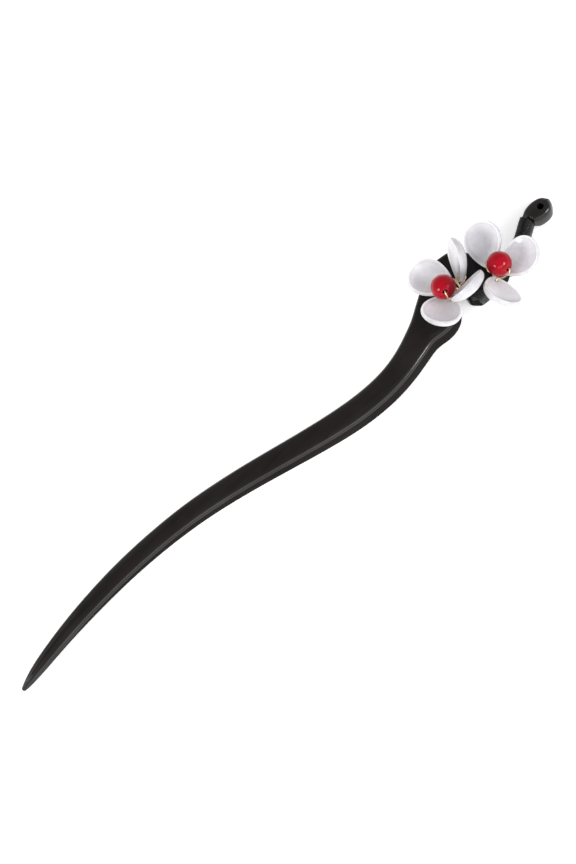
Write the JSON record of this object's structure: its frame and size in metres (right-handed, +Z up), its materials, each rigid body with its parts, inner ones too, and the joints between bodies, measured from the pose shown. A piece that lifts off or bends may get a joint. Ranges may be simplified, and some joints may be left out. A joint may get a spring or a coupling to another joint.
{
  "type": "hair stick",
  "caption": "Curved black wooden hair stick with a broad notched head, a thread-bound neck, a drilled knob and flowers of milky glass petals and red beads held by gold wire.",
  "frame": {"origin": "on the surface that it lies on, under the middle of its overall box", "axes": "+X from the tip along the stick to the knob, +Y across the head towards its upper edge, +Z up from the flat underside to the flowers"},
  "size_m": [0.1729, 0.0262, 0.0196],
  "materials": {
    "black_wood": "satin, oiled dark wood with fine grain",
    "black_thread": "matt twisted thread wound side by side",
    "milk_glass": "glossy milky white glass",
    "red_glass": "glossy deep red",
    "gold_wire": "bright gold-coloured wire"
  },
  "bodies": {
    "root": {"stick": "black_wood", "neck_thread": "black_thread", "lip_thread": "black_thread", "left_petal_1": "milk_glass", "left_petal_2": "milk_glass", "left_petal_3": "milk_glass", "left_petal_4": "milk_glass", "right_petal_1": "milk_glass", "right_petal_2": "milk_glass", "right_petal_3": "milk_glass", "left_bead": "red_glass", "right_bead": "red_glass", "left_wire": "gold_wire", "right_wire": "gold_wire"}
  },
  "joints": []
}
